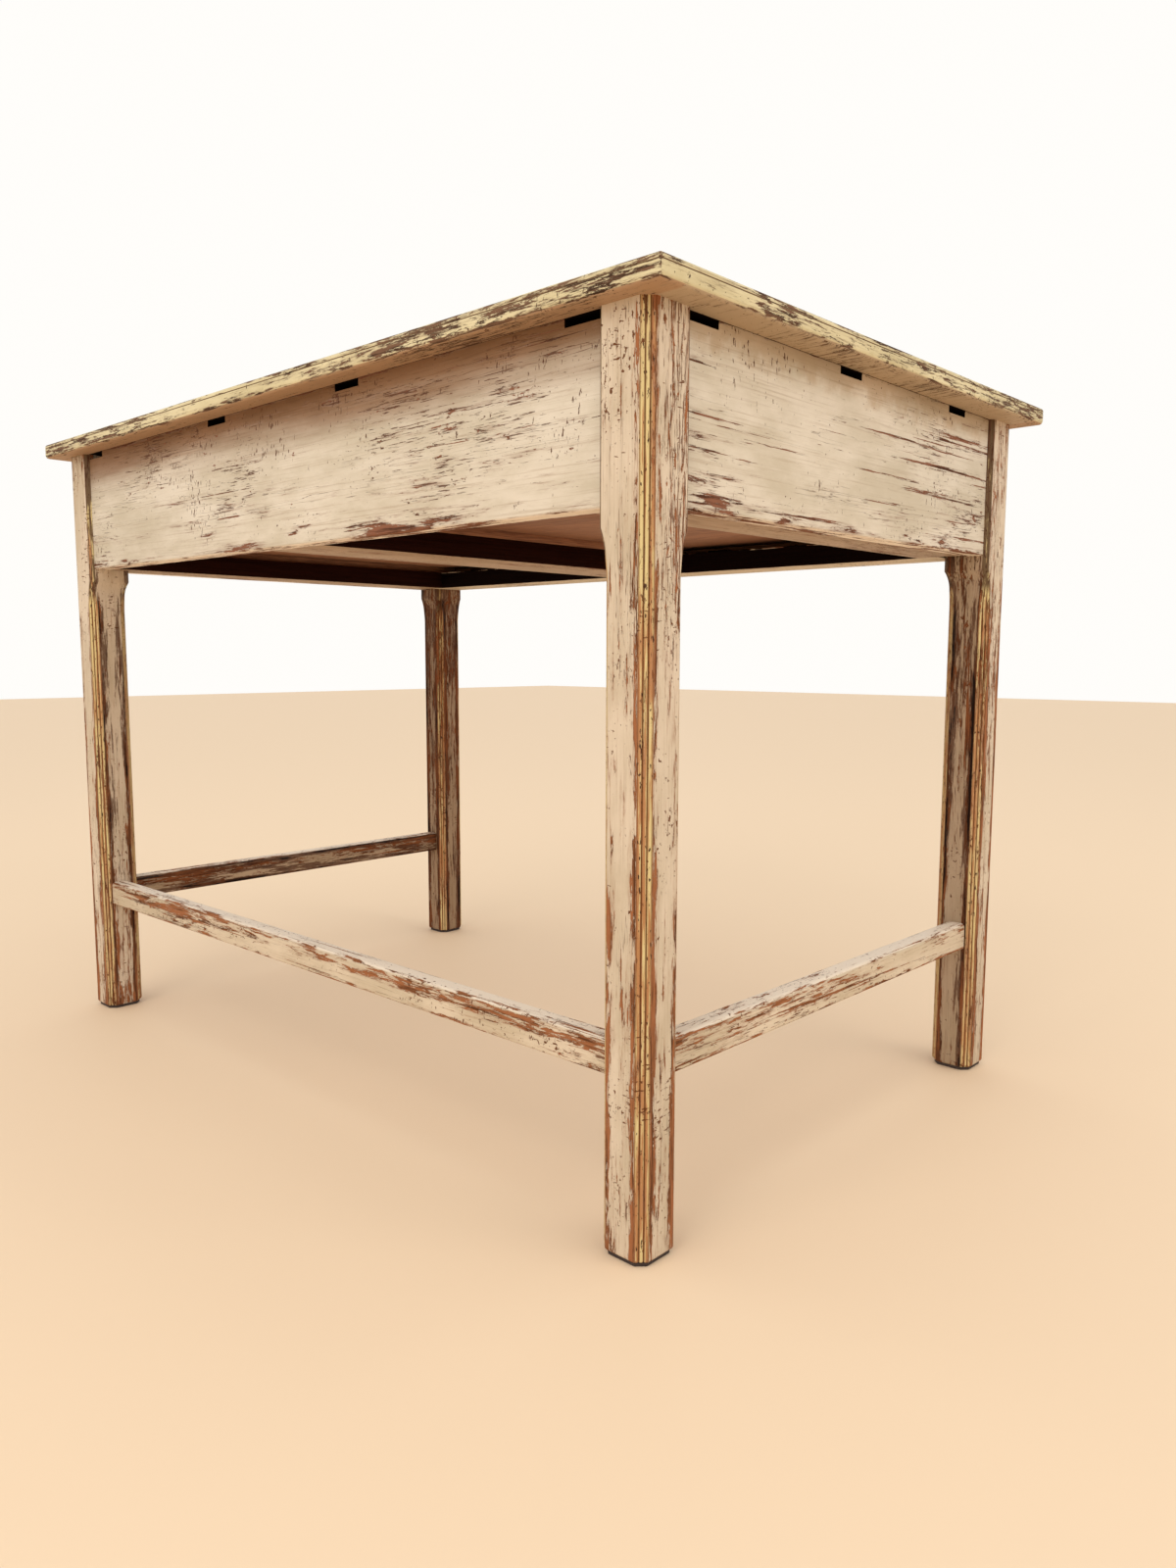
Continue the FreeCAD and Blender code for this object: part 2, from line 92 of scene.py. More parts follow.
def soft_lamp(name, place, size, power):
    """Square lamp that faces the middle of the table."""
    lamp = bpy.data.objects.new(name, bpy.data.lights.new(name, "AREA"))
    lamp.data.size, lamp.data.energy = size, power
    lamp.data.color = LAMP_COLOUR
    lamp.location = place
    lamp.rotation_euler = (Vector(LAMP_AIM) - Vector(place)).to_track_quat("-Z", "Y").to_euler()
    bpy.context.scene.collection.objects.link(lamp)


soft_lamp("window_lamp", place=(-0.6, 3.0, 2.6), size=2.2, power=34.0)
soft_lamp("side_lamp", place=(-3.2, -0.6, 2.4), size=2.0, power=20.0)

# ---- Table top --------------------------------------------------------------------------------
# One glued-up board with its grain along the table. Its edge has a small round above a fine scratched
# line, and its cream paint is yellowed and rubbed down to grey-brown wood along the edge.
CREAM = (0.665, 0.570, 0.450)
YELLOWED = (0.690, 0.600, 0.375)
BROWN = (0.225, 0.096, 0.056)
ORANGE_BROWN = (0.300, 0.115, 0.048)
GREY_BROWN = (0.165, 0.090, 0.054)
# Unpainted wood inside the frame, coloured near black as painted shade.
BLACK_STAIN_AND_SHADE = (0.0060, 0.0020, 0.0015)


def add_node(tree, kind, inputs=None, **settings):
    """Add a shader node, set its options, and fill its inputs with values or with links."""
    node = tree.nodes.new("ShaderNode" + kind)
    for key, value in settings.items():
        setattr(node, key, value)
    for key, value in (inputs or {}).items():
        if isinstance(value, bpy.types.NodeSocket):
            tree.links.new(value, node.inputs[key])
        else:
            node.inputs[key].default_value = value
    return node


def calc(tree, operation, a, b=0.0):
    """One step of arithmetic on two values."""
    return add_node(tree, "Math", {0: a, 1: b}, operation=operation).outputs[0]


def combine(tree, operation, values):
    """The same step from value to value, left to right."""
    result = values[0]
    for value in values[1:]:
        result = calc(tree, operation, result, value)
    return result


def total(tree, *values):
    return combine(tree, "ADD", values)


def product(tree, *values):
    return combine(tree, "MULTIPLY", values)


def either(tree, *values):
    """Masks laid over each other: the largest value wins."""
    return combine(tree, "MAXIMUM", values)


def inverse(tree, value):
    """1 where a mask is 0, and 0 where it is 1."""
    return calc(tree, "SUBTRACT", 1.0, value)


def centred(tree, value, amount):
    """A noise as a push up or down of this size."""
    return product(tree, calc(tree, "SUBTRACT", value, 0.5), amount)


def height_of(tree, coords):
    return add_node(tree, "SeparateXYZ", {0: coords}).outputs[2]


def shade(colour, *factors):
    """A colour darkened or lightened by one factor, or by one each for red, green and blue."""
    if len(factors) == 1:
        factors = factors * 3
    return tuple(c * factor for c, factor in zip(colour, factors))


def blend_colour(tree, factor, first, second, mode="MIX"):
    """First colour where factor is 0, second where it is 1."""
    def rgba(c):
        return (*c, 1.0) if isinstance(c, tuple) else c
    node = add_node(tree, "Mix", {0: factor, 6: rgba(first), 7: rgba(second)},
                    data_type="RGBA", blend_type=mode)
    return node.outputs[2]


def over(tree, value, low, high):
    """0 below low, 1 above high, smooth between."""
    node = add_node(tree, "MapRange", {"Value": value, "From Min": low, "From Max": high},
                    interpolation_type="SMOOTHSTEP")
    return node.outputs["Result"]


def grain_noise(tree, coords, grain, along, across, seed, detail=3.0, rough=0.55, turn=0.0, warp=0.0):
    """Noise with this many features a metre along the grain and across it."""
    scale = [across] * 3
    scale["XYZ".index(grain)] = along
    mapping = add_node(tree, "Mapping", {"Vector": coords, "Scale": scale,
                                         "Location": (seed * 3.7, seed * 1.9, seed * 5.3)})
    if turn:
        turned = add_node(tree, "Mapping", {"Vector": coords, "Rotation": (turn, turn, turn)})
        tree.links.new(turned.outputs[0], mapping.inputs["Vector"])
    noise = add_node(tree, "TexNoise", {"Vector": mapping.outputs[0], "Scale": 1.0, "Detail": detail,
                                        "Roughness": rough, "Distortion": warp})
    return noise.outputs["Fac"]


def edge_distance(tree, coords, low, high):
    """Distance in metres from a board's nearest arris, for a point on its surface."""
    centre, half = (Vector(low) + Vector(high)) / 2, (Vector(high) - Vector(low)) / 2
    offset = add_node(tree, "VectorMath", {0: coords, 1: centre}, operation="SUBTRACT")
    inside = add_node(tree, "VectorMath", {0: offset.outputs[0]}, operation="ABSOLUTE")
    depth = add_node(tree, "VectorMath", {0: half, 1: inside.outputs[0]}, operation="SUBTRACT")
    axes = add_node(tree, "SeparateXYZ", {0: depth.outputs[0]}).outputs
    small = calc(tree, "MINIMUM", axes[0], axes[1])
    large = calc(tree, "MAXIMUM", axes[0], axes[1])
    return calc(tree, "MAXIMUM", small, calc(tree, "MINIMUM", large, axes[2]))


def faces_towards(tree, direction, threshold):
    """1 on faces whose normal leans towards a direction."""
    normal = add_node(tree, "NewGeometry").outputs["Normal"]
    lean = add_node(tree, "VectorMath", {0: normal, 1: direction}, operation="DOT_PRODUCT")
    return over(tree, lean.outputs["Value"], threshold - 0.05, threshold + 0.05)


def unless_faces(*directions):
    """Mask of the faces that look in none of these directions."""
    def mask(tree, coords):
        painted = [faces_towards(tree, direction, 0.45) for direction in directions]
        return inverse(tree, either(tree, *painted))
    return mask


def start_material(name):
    """New material with its tree, its shader and the Object coordinates."""
    material = bpy.data.materials.new(name)
    material.use_nodes = True
    tree = material.node_tree
    coords = add_node(tree, "TexCoord").outputs["Object"]
    return material, tree, tree.nodes["Principled BSDF"], coords


# The two levels between which each kind of wear fades in.
WORN_THROUGH, WORN_THIN = (0.657, 0.665), (0.545, 0.665)
SCRATCHED, FLECKED, DASHED = (0.658, 0.665), (0.668, 0.676), (0.682, 0.708)
NICKED, TICKED = (0.700, 0.708), (0.722, 0.730)
CRACK_HALF_WIDTH, CRACKED = 0.006, (0.52, 0.62)


def wear_masks(tree, coords, grain, seed, rubbed, scored, fine, extra=None):
    """Patches down to the wood, paint worn thin round them, and small dark marks.

    rubbed and scored push the patches and the scratches, fine makes the patches smaller."""
    def noise(along, across, step, **settings):
        return grain_noise(tree, coords, grain, along, across, seed + step, **settings)

    field = noise(3.0, 7.0, 1, detail=2.0)
    streak = noise(10.0 * fine, 95.0 * fine, 2, detail=9.0, rough=0.72, warp=0.4)
    ragged = noise(55.0 * fine, 330.0 * fine, 13, detail=4.0, rough=0.65)
    level = total(tree, streak, centred(tree, field, 0.36), centred(tree, ragged, 0.20), rubbed)
    if extra is not None:
        level = total(tree, level, extra)

    scratch = noise(3.6, 180.0, 3, detail=9.0, rough=0.68)
    scratch = total(tree, scratch, centred(tree, ragged, 0.12), centred(tree, field, 0.25), scored)
    fleck = noise(60.0, 150.0, 14, detail=7.0, rough=0.70)
    fleck = total(tree, fleck, centred(tree, field, 0.45), centred(tree, streak, 0.30), rubbed)
    patches = either(tree, over(tree, level, *WORN_THROUGH), over(tree, scratch, *SCRATCHED),
                     over(tree, fleck, *FLECKED))
    thin = over(tree, level, *WORN_THIN)

    dash = noise(38.0, 640.0, 4, detail=5.0, rough=0.62)
    dash = total(tree, dash, centred(tree, field, 0.85), centred(tree, streak, 0.45), rubbed)
    crack = calc(tree, "ABSOLUTE", calc(tree, "SUBTRACT", noise(4.0, 120.0, 5), 0.5))
    cracks = product(tree, inverse(tree, over(tree, crack, 0.0, CRACK_HALF_WIDTH)),
                     over(tree, noise(5.0, 26.0, 6, detail=2.0), *CRACKED))
    group = noise(9.0, 16.0, 7, detail=5.0, rough=0.7)
    nick = noise(210.0, 300.0, 8, detail=4.0, rough=0.65, warp=0.2)
    nick = total(tree, nick, centred(tree, group, 0.60), rubbed)
    cluster = noise(7.0, 11.0, 15, detail=4.0, rough=0.7)
    tick = noise(460.0, 130.0, 9, detail=4.0, turn=0.12)
    tick = total(tree, tick, centred(tree, cluster, 0.80))
    marks = either(tree, over(tree, nick, *NICKED), over(tree, tick, *TICKED),
                   product(tree, over(tree, dash, *DASHED), 0.9), product(tree, cracks, 0.75))
    return patches, thin, marks


def painted_wood(name, grain, seed, box=None, tone=CREAM, worn=BROWN, rubbed=0.0, scored=0.0,
                 fine=1.0, extra=None, bare=None, bare_tone=BLACK_STAIN_AND_SHADE, tint=None, dirt_and_shade=None,
                 reach=0.004):
    """Old oil paint over brown wood.

    bare masks the faces that were never painted. tint changes the paint, and a last step lays dirt and
    painted shade over the whole surface.
    extra adds wear, and reach is how far the rubbing comes in from the arrises of a box."""
    material, tree, shader, coords = start_material(name)
    more = extra(tree, coords) if extra else None
    patches, thin, marks = wear_masks(tree, coords, grain, seed, rubbed, scored, fine, more)
    if box:
        edge = edge_distance(tree, coords, *box)
        ragged = grain_noise(tree, coords, grain, 20.0, 170.0, seed + 10, detail=6.0, rough=0.7)
        rim = calc(tree, "SUBTRACT", product(tree, over(tree, ragged, 0.44, 0.70), reach), edge)
        patches = either(tree, patches, over(tree, rim, 0.0002, 0.0007))
        thin = either(tree, thin, over(tree, rim, -0.0016, 0.0005))

    fibre = grain_noise(tree, coords, grain, 9.0, 520.0, seed + 11, detail=6.0, rough=0.72)
    cloud = grain_noise(tree, coords, grain, 7.0, 20.0, seed + 12, detail=6.0, rough=0.65)
    paint = blend_colour(tree, over(tree, cloud, 0.32, 0.68), shade(tone, 1.09),
                         shade(tone, 0.84, 0.82, 0.75))
    scuffed = product(tree, over(tree, fibre, 0.50, 0.72), 0.55)
    paint = blend_colour(tree, scuffed, paint, shade(tone, 0.58, 0.48, 0.40))
    if tint:
        paint = tint(tree, coords, paint)
    seen_through = total(tree, product(tree, over(tree, fibre, 0.42, 0.58), 0.70), 0.08)
    paint = blend_colour(tree, product(tree, thin, seen_through), paint,
                         tuple(a * 0.25 + b * 0.75 for a, b in zip(tone, worn)))

    pore = grain_noise(tree, coords, grain, 14.0, 300.0, seed + 16, detail=6.0, rough=0.74)
    timber = blend_colour(tree, over(tree, pore, 0.44, 0.62), shade(worn, 1.15), shade(worn, 0.34))
    # Small marks show the wood at half its colour, partly painted shade in the nicks.
    colour = blend_colour(tree, marks, paint, shade(worn, 0.50))
    colour = blend_colour(tree, patches, colour, timber)
    if dirt_and_shade:
        colour = dirt_and_shade(tree, coords, colour)
    gone = either(tree, patches, product(tree, marks, 0.8))
    gloss = calc(tree, "SUBTRACT", 0.20, product(tree, gone, 0.13))
    if bare:
        raw = bare(tree, coords)
        raw_wood = blend_colour(tree, over(tree, fibre, 0.35, 0.70), bare_tone, shade(bare_tone, 0.45))
        colour = blend_colour(tree, raw, colour, raw_wood)
        gone = either(tree, gone, raw)
        gloss = product(tree, gloss, inverse(tree, product(tree, raw, 0.85)))

    roughness = total(tree, product(tree, gone, 0.22), centred(tree, fibre, 0.3), 0.56)
    height = calc(tree, "SUBTRACT", product(tree, fibre, 0.35), gone)
    bump = add_node(tree, "Bump", {"Height": height, "Strength": 0.7, "Distance": 0.0006})
    tree.links.new(colour, shader.inputs["Base Color"])
    tree.links.new(gloss, shader.inputs["Specular IOR Level"])
    tree.links.new(roughness, shader.inputs["Roughness"])
    tree.links.new(bump.outputs[0], shader.inputs["Normal"])
    return material


def draw_up(name, rings, labels=()):
    """Closed solid drawn up from a circle through rings of points, from its foot to its head.

    A point is its place and one value for each label, which is kept as a point attribute."""
    clear_selection()
    count = len(rings[0])
    bpy.ops.mesh.primitive_circle_add(vertices=count, radius=1.0, fill_type="NGON")
    piece = bpy.context.object
    piece.name = name
    bpy.ops.object.mode_set(mode="EDIT")
    for _ in rings[1:]:
        bpy.ops.mesh.extrude_region_move(TRANSFORM_OT_translate={"value": (0, 0, 1.0)})
    bpy.ops.object.mode_set(mode="OBJECT")
    for label in labels:
        piece.data.attributes.new(label, "FLOAT", "POINT")
    for vertex in piece.data.vertices:
        turn = round(math.atan2(vertex.co.y, vertex.co.x) / (2 * math.pi) * count) % count
        place, *values = rings[round(vertex.co.z)][turn]
        vertex.co = place
        for label, value in zip(labels, values):
            piece.data.attributes[label].data[vertex.index].value = value
    bpy.ops.object.mode_set(mode="EDIT")
    bpy.ops.mesh.select_all(action="SELECT")
    bpy.ops.mesh.normals_make_consistent(inside=False)
    bpy.ops.object.mode_set(mode="OBJECT")
    return piece


def finish_piece(piece, body, material, nodes, angle=35.0):
    """Smooth shading by angle, material, body and the CAD nodes that the piece stands for."""
    clear_selection()
    piece.select_set(True)
    bpy.context.view_layer.objects.active = piece
    bpy.ops.object.shade_smooth_by_angle(angle=math.radians(angle))
    piece.data.materials.clear()
    piece.data.materials.append(material)
    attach(piece, body)
    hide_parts(*nodes)


TOP_CORNER, TOP_ROUND, TOP_UNDER_ROUND = 0.003, 0.0035, 0.0045
LINE_BELOW, LINE_DEPTH, LINE_HALF = 0.0052, 0.0006, 0.0005
ROUND_STEPS, CORNER_STEPS = 5, 5
SMALLEST_CORNER = 0.0003
top_low, top_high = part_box("top_board")


def top_levels():
    """Height and inset of each ring of the board's edge, from its underside to its upper face."""
    quarter = [math.pi / 2 * i / ROUND_STEPS for i in range(ROUND_STEPS + 1)]
    levels = [(top_low.z + TOP_UNDER_ROUND * (1 - math.cos(a)), TOP_UNDER_ROUND * (1 - math.sin(a)))
              for a in quarter]
    line = top_high.z - LINE_BELOW
    levels += [(line - LINE_HALF, 0.0), (line, LINE_DEPTH), (line + LINE_HALF, 0.0)]
    return levels + [(top_high.z - TOP_ROUND * (1 - math.sin(a)), TOP_ROUND * (1 - math.cos(a)))
                     for a in quarter]


def top_ring(z, inset):
    """Rounded rectangle at a height, counter-clockwise from the middle of the +X side."""
    radius = max(TOP_CORNER - inset, SMALLEST_CORNER)
    x, y = top_high.x - inset - radius, top_high.y - inset - radius
    ring = []
    for k, (sx, sy) in enumerate(((1, 1), (-1, 1), (-1, -1), (1, -1))):
        for i in range(CORNER_STEPS + 1):
            angle = math.pi / 2 * (k + i / CORNER_STEPS)
            place = (sx * x + radius * math.cos(angle), sy * y + radius * math.sin(angle), z)
            ring.append((Vector(place),))
    return ring


top = draw_up("top_board_painted", [top_ring(*level) for level in top_levels()])

# The unpainted wood shows this far past the aprons, as a dark joint.
JOINT_SHADOW = 0.0004
# The underside colours hold painted shade under the overhang, darkest along the long edges.
UNDER_ENDS_SHADED = (0.470, 0.345, 0.225)
UNDER_LONG_EDGES_SHADED = (0.430, 0.265, 0.155)
LESS_YELLOW = (0.98, 0.94, 1.16)
LINE_DIRT = (0.150, 0.090, 0.050)
end_apron_face = -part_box("left_end_apron")[0].x
back_apron_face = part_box("back_apron")[1].y


def top_extra(tree, coords):
    """The board's edge is worn most, its long edges a little more, and its faces hardly at all."""
    normal = add_node(tree, "NewGeometry").outputs["Normal"]
    up = add_node(tree, "SeparateXYZ", {0: normal}).outputs[2]
    upright = inverse(tree, over(tree, calc(tree, "ABSOLUTE", up), 0.5, 0.9))
    place = add_node(tree, "SeparateXYZ", {0: coords}).outputs
    run = add_node(tree, "CombineXYZ", {0: place[0], 1: place[1]}).outputs[0]
    stretch = grain_noise(tree, run, "Z", 5.5, 5.5, 17, detail=2.0)
    long_edge = over(tree, calc(tree, "ABSOLUTE", place[1]), top_high.y - 0.003, top_high.y - 0.001)
    level = total(tree, centred(tree, stretch, 0.34), product(tree, long_edge, 0.030), 0.082)
    underside = over(tree, up, -0.5, -0.9)
    return total(tree, product(tree, upright, level), product(tree, underside, 0.035))


def top_hidden(tree, coords):
    """The underside between the aprons, which was never painted; its near-black colour is painted shade.
    """
    place = add_node(tree, "SeparateXYZ", {0: coords}).outputs
    inside_x = calc(tree, "LESS_THAN", calc(tree, "ABSOLUTE", place[0]), end_apron_face + JOINT_SHADOW)
    inside_y = calc(tree, "LESS_THAN", calc(tree, "ABSOLUTE", place[1]), back_apron_face + JOINT_SHADOW)
    return product(tree, inside_x, inside_y, faces_towards(tree, (0, 0, -1), 0.9))


def top_tint(tree, coords, paint):
    """Less yellow paint on the upper face, browner paint with painted shade underneath, and dirt in the
    scratched line.
    """
    place = add_node(tree, "SeparateXYZ", {0: coords}).outputs
    paint = blend_colour(tree, faces_towards(tree, (0, 0, 1), 0.8), paint, LESS_YELLOW, "MULTIPLY")
    along = over(tree, calc(tree, "ABSOLUTE", place[1]),
                 back_apron_face - 0.005, back_apron_face - 0.001)
    under = blend_colour(tree, along, UNDER_ENDS_SHADED, UNDER_LONG_EDGES_SHADED)
    paint = blend_colour(tree, faces_towards(tree, (0, 0, -1), 0.6), paint, under)
    off = calc(tree, "ABSOLUTE", calc(tree, "SUBTRACT", place[2], top_high.z - LINE_BELOW))
    line = inverse(tree, over(tree, off, LINE_HALF * 0.6, LINE_HALF * 1.4))
    return blend_colour(tree, product(tree, line, 0.8), paint, LINE_DIRT)


# The scratches run along the grain, but along the end edges they run with the edge.
long_paint, end_paint = [
    painted_wood(f"top_paint_{grain.lower()}", grain, 11, (top_low, top_high), tone=YELLOWED,
                 worn=GREY_BROWN, fine=2.8, extra=top_extra, bare=top_hidden, tint=top_tint,
                 reach=0.005)
    for grain in "XY"]
finish_piece(top, "root", long_paint, ["top_board"])
top.data.materials.append(end_paint)
for polygon in top.data.polygons:
    along, across = abs(polygon.normal.x), abs(polygon.normal.y)
    polygon.material_index = 1 if along > 0.5 and along > across else 0

# ---- Legs -------------------------------------------------------------------------------------
# Four square legs. Each corner has a chamfer with three reeds run on it. Below the aprons a curved
# shoulder relieves the two inner faces, and above it only the outer corner keeps its reeds.
LEG_BLOCK, LEG_LOWER = 0.052, 0.048
CHAMFER, BLOCK_CHAMFER = 0.0085, 0.005
REEDS, REED_DEPTH, REED_STEPS, REED_ROUND = 3, 0.0013, 6, 0.6
FOOT_BEVEL = 0.0025
SHOULDER_TOP, SHOULDER_END = 0.015, 0.033
FADE_START, FADE_END = 0.022, 0.004
# How far each line of points on a face is from the chamfer, and what stands for it on the reeds.
FACE_COLUMNS = (0.0009, 0.0025, 0.005, 0.009, 0.015)
ON_REED = -0.001
leg_low, leg_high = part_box("back_left_leg")
apron_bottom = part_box("back_apron")[0].z
half_length, half_depth = -leg_low.x, leg_high.y


def ease(value, low, high):
    """0 at low, 1 at high, smooth between."""
    t = min(1.0, max(0.0, (value - low) / (high - low)))
    return t * t * (3 - 2 * t)


def leg_outline(z):
    """Section of a leg at a height, from its outer faces inwards along u and v.

    Each point has its place, how deep it is in a quirk, how far it is from the chamfer, whether it
    is on an inner face, and whether its corner is reeded."""
    rise = SHOULDER_END - SHOULDER_TOP
    depth = LEG_BLOCK - LEG_LOWER
    radius = (depth ** 2 + rise ** 2) / (2 * depth)
    above = min(rise, max(0.0, z - (apron_bottom - SHOULDER_END)))
    size = LEG_LOWER + radius - math.sqrt(radius ** 2 - above ** 2)
    fade = ease(z, apron_bottom - SHOULDER_END - FADE_START, apron_bottom - SHOULDER_TOP - FADE_END)
    bevel = FOOT_BEVEL * (1 - ease(z, leg_low.z - 0.002, leg_low.z + FOOT_BEVEL))
    corners = [Vector((0, 0)), Vector((size, 0)), Vector((size, size)), Vector((0, size))]
    last = REEDS * REED_STEPS
    points = []
    for i, corner in enumerate(corners):
        back = (corners[i - 1] - corner).normalized()
        ahead = (corners[(i + 1) % 4] - corner).normalized()
        outer = i == 0
        cut = CHAMFER if outer else CHAMFER + (BLOCK_CHAMFER - CHAMFER) * fade
        reeded = 1.0 if outer else 1 - fade
        start, end = corner + back * cut, corner + ahead * cut
        inward = (back + ahead).normalized()
        for column in reversed(FACE_COLUMNS):
            points.append((start + back * column, 0.0, column, 1.0 if i in (2, 3) else 0.0, reeded))
        for k in range(last + 1):
            swell = abs(math.sin(math.pi * k / REED_STEPS)) ** REED_ROUND
            place = start.lerp(end, k / last) + inward * (REED_DEPTH * reeded) * (1 - swell)
            quirk = (1 - swell) * reeded
            if k in (0, last):
                place, quirk = (end if k else start), 0.5 * reeded
            points.append((place, quirk, ON_REED, 0.0 if outer else 0.5, reeded))
        for column in FACE_COLUMNS:
            points.append((end + ahead * column, 0.0, column, 1.0 if i in (1, 2) else 0.0, reeded))
    middle, shrink = Vector((size / 2, size / 2)), 1 - 2 * bevel / size
    return [((*(middle + (p - middle) * shrink), z), *values) for p, *values in points]


def leg_levels():
    """Heights of the rings: close together at the foot and the shoulder, wide apart elsewhere."""
    shoulder = apron_bottom - SHOULDER_END
    foot = [leg_low.z + rise for rise in (0.0, 0.0008, 0.0016, 0.0028)]
    shaft = [leg_low.z + 0.03 + 0.045 * i for i in range(12)]
    curve = [shoulder - 0.024 + 0.003 * i for i in range(15)]
    block = [apron_bottom - 0.002, apron_bottom + 0.02, (apron_bottom + leg_high.z) / 2, leg_high.z]
    return foot + [z for z in shaft if z < shoulder - 0.03] + curve + block


LEG_LABELS = ("quirk", "corner", "inner", "reeded")


def point_value(tree, name):
    """Value that the leg's points carry under this name."""
    return add_node(tree, "Attribute", attribute_name=name).outputs["Fac"]


def leg_extra(tree, coords):
    """Paint rubbed away in long strips beside the reeds and the arrises, most of all low down."""
    height = height_of(tree, coords)
    low = inverse(tree, over(tree, height, 0.25, 0.60))
    away = point_value(tree, "corner")
    near = product(tree, over(tree, away, -0.0008, 0.0004),
                   inverse(tree, over(tree, away, 0.0012, 0.0100)))
    strip = grain_noise(tree, coords, "Z", 2.6, 20.0, 41, detail=2.0)
    band = total(tree, product(tree, low, 0.13), centred(tree, strip, 0.40), 0.05)
    lowest = inverse(tree, over(tree, height, 0.06, 0.30))
    return total(tree, product(tree, near, band), product(tree, low, 0.050),
                 product(tree, lowest, 0.035))


# The first colour darkens the inward faces with grime and painted shade; the other two are stains and
# chips.
GRIME_AND_SHADE = (0.50, 0.40, 0.32)
GRIME_STAIN = (0.095, 0.036, 0.016)
GRIME_CHIP = (0.016, 0.007, 0.004)


def grimy_and_shaded(tree, coords, grain, colour, inner, side, amount):
    """Grime and painted shade on the faces turned inwards, with dark bands along their arrises and black
    chips.
    """
    colour = blend_colour(tree, product(tree, inner, amount), colour, GRIME_AND_SHADE, "MULTIPLY")
    flaking = grain_noise(tree, coords, grain, 9.0, 120.0, 44, detail=9.0, rough=0.74)
    stretch = grain_noise(tree, coords, grain, 3.0, 9.0, 45, detail=2.0)
    level = total(tree, flaking, centred(tree, stretch, 0.30), product(tree, side, 0.13),
                  centred(tree, amount, 0.09))
    stained = product(tree, over(tree, level, 0.575, 0.605), inner)
    colour = blend_colour(tree, product(tree, stained, 0.85), colour, GRIME_STAIN)
    chipped = product(tree, over(tree, level, 0.682, 0.690), inner)
    return blend_colour(tree, chipped, colour, GRIME_CHIP)


LEG_CREAM = (0.645, 0.532, 0.405)
REED_YELLOW = (0.690, 0.550, 0.255)
REED_BROWN = (0.440, 0.195, 0.070)
QUIRK_BROWN = (0.180, 0.060, 0.016)
JOINT_BROWN = (0.070, 0.027, 0.012)


def leg_tint(tree, coords, paint):
    """Yellowed paint on the reeds, rubbed to orange brown lower down."""
    on_reed = inverse(tree, over(tree, point_value(tree, "corner"), -0.0009, 0.0004))
    streaks = grain_noise(tree, coords, "Z", 14.0, 420.0, 42, detail=6.0, rough=0.68)
    stretch = grain_noise(tree, coords, "Z", 3.0, 130.0, 47, detail=2.0)
    lower = product(tree, over(tree, height_of(tree, coords), 0.62, 0.40), 0.05)
    rubbing = total(tree, streaks, centred(tree, stretch, 0.55), lower)
    reed = blend_colour(tree, over(tree, rubbing, 0.50, 0.60), REED_YELLOW, REED_BROWN)
    return blend_colour(tree, product(tree, on_reed, 0.95), paint, reed)


def leg_dirt_and_shade(tree, coords, colour):
    """Brown quirks between the reeds, small specks on them, dark joints with the aprons, and grime with
    painted shade.
    """
    quirk = over(tree, point_value(tree, "quirk"), 0.10, 0.60)
    colour = blend_colour(tree, product(tree, quirk, 0.85), colour, QUIRK_BROWN)
    on_chamfer = inverse(tree, over(tree, point_value(tree, "corner"), -0.0009, 0.0008))
    speck = over(tree, grain_noise(tree, coords, "Z", 150.0, 420.0, 43, detail=4.0), 0.62, 0.66)
    colour = blend_colour(tree, product(tree, speck, on_chamfer), colour, JOINT_BROWN)
    plain = inverse(tree, over(tree, point_value(tree, "reeded"), 0.2, 0.8))
    filled = grain_noise(tree, coords, "Z", 14.0, 200.0, 46, detail=6.0, rough=0.7)
    joint = product(tree, on_chamfer, plain, over(tree, filled, 0.36, 0.44))
    colour = blend_colour(tree, product(tree, joint, 0.9), colour, JOINT_BROWN)

    inner = over(tree, point_value(tree, "inner"), 0.6, 0.9)
    side = inverse(tree, over(tree, point_value(tree, "corner"), 0.001, 0.010))
    place = add_node(tree, "SeparateXYZ", {0: coords}).outputs
    # Grime and painted shade are strongest on the front legs, and most of all on the front right one.
    right, front = over(tree, place[0], -0.1, 0.1), over(tree, place[1], 0.1, -0.1)
    amount = total(tree, product(tree, total(tree, product(tree, right, 0.22), 0.56), front), 0.14)
    return grimy_and_shaded(tree, coords, "Z", colour, inner, side, amount)


leg_paint = painted_wood("leg_paint", "Z", 23, tone=LEG_CREAM, worn=ORANGE_BROWN, rubbed=0.026,
                         scored=0.022, fine=1.7, extra=leg_extra, tint=leg_tint, dirt_and_shade=leg_dirt_and_shade)
leg_rings = [leg_outline(z) for z in leg_levels()]
for depth_name, sy in (("front", -1), ("back", 1)):
    for side_name, sx in (("left", -1), ("right", 1)):
        rings = [[(Vector((sx * (half_length - u), sy * (half_depth - v), z)), *values)
                  for (u, v, z), *values in ring] for ring in leg_rings]
        node = f"{depth_name}_{side_name}_leg"
        leg = draw_up(node + "_reeded", rings, LEG_LABELS)
        finish_piece(leg, "root", leg_paint, [node], angle=50.0)

# ---- Foot pads --------------------------------------------------------------------------------
# A thin dark pad cut to the outline of each leg and glued under it, with its lower edge worn round.
ARRIS_SEGMENTS = 2


